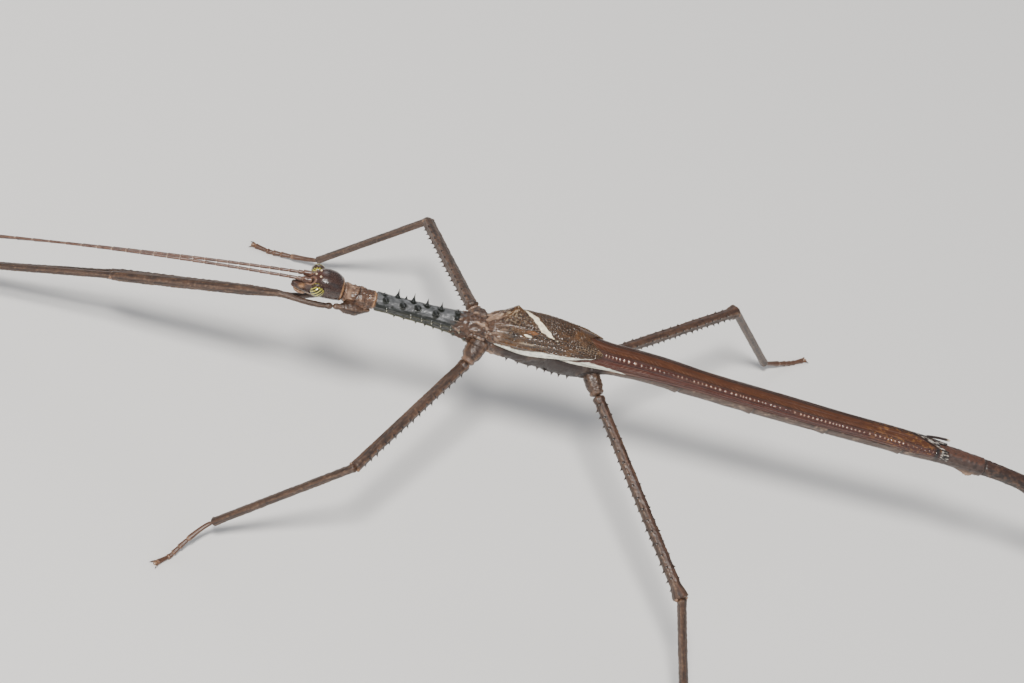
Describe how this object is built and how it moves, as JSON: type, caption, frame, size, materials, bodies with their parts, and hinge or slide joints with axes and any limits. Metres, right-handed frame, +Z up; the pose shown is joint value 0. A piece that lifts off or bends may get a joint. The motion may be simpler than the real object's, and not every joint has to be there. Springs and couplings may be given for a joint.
{
  "type": "winged male stick insect",
  "caption": "Life-size model of a winged male stick insect standing on its feet, with stretched forelegs, long folded wings and a spiny thorax.",
  "frame": {"origin": "middle of the footprint at floor level: the bottom centre of the bounding box", "axes": "+Z up, -X the way the head points, +X along the body to the tail, -Y the animal's left side"},
  "size_m": [0.1662, 0.0836, 0.0334],
  "materials": {
    "head_cuticle": "smooth glossy dark reddish brown cuticle with faint lengthwise streaks",
    "eye": "glossy eye with curved yellow-green and black stripes",
    "antenna": "beaded brown feeler with pale joints",
    "prothorax_cuticle": "wrinkled tan-brown cuticle with pits and grooves",
    "mesothorax_cuticle": "slate grey-blue cuticle with dark green-black spines",
    "metathorax_cuticle": "dark brown ridged cuticle with dark teeth",
    "fore_wing": "leathery dark brown netted fore wing with a cream stripe and a white side edge",
    "hind_wing": "glossy red-brown folded hind wing with dark lengthwise veins",
    "abdomen_cuticle": "grey-brown ringed cuticle with paler mottling",
    "leg_cuticle": "ridged brown cuticle with small dark teeth and pale joints"
  },
  "bodies": {
    "root": {"head": "head_cuticle", "eye_left": "eye", "antenna_left": "antenna", "eye_right": "eye", "antenna_right": "antenna", "prothorax": "prothorax_cuticle", "mesothorax": "mesothorax_cuticle", "metathorax": "metathorax_cuticle", "tegmen_left": "fore_wing", "hindwing_left": "hind_wing", "tegmen_right": "fore_wing", "hindwing_right": "hind_wing", "abdomen_segment_2": "abdomen_cuticle", "abdomen_segment_3": "abdomen_cuticle", "abdomen_segment_4": "abdomen_cuticle", "abdomen_segment_5": "abdomen_cuticle", "abdomen_segment_6": "abdomen_cuticle", "abdomen_segment_7": "abdomen_cuticle", "abdomen_segment_8": "abdomen_cuticle", "abdomen_segment_9": "abdomen_cuticle", "abdomen_segment_10": "abdomen_cuticle", "cercus_left": "abdomen_cuticle", "cercus_right": "abdomen_cuticle", "fore_coxa_left": "leg_cuticle", "fore_coxa_right": "leg_cuticle", "fore_femur_left": "leg_cuticle", "fore_femur_right": "leg_cuticle", "fore_tibia_left": "leg_cuticle", "fore_tibia_right": "leg_cuticle", "fore_tarsus_left": "leg_cuticle", "fore_tarsus_right": "leg_cuticle", "mid_coxa_left": "leg_cuticle", "mid_coxa_right": "leg_cuticle", "mid_femur_left": "leg_cuticle", "mid_femur_right": "leg_cuticle", "mid_tibia_left": "leg_cuticle", "mid_tibia_right": "leg_cuticle", "mid_tarsus_left": "leg_cuticle", "mid_tarsus_right": "leg_cuticle", "hind_coxa_left": "leg_cuticle", "hind_coxa_right": "leg_cuticle", "hind_femur_left": "leg_cuticle", "hind_femur_right": "leg_cuticle", "hind_tibia_left": "leg_cuticle", "hind_tibia_right": "leg_cuticle", "hind_tarsus_left": "leg_cuticle", "hind_tarsus_right": "leg_cuticle"}
  },
  "joints": []
}
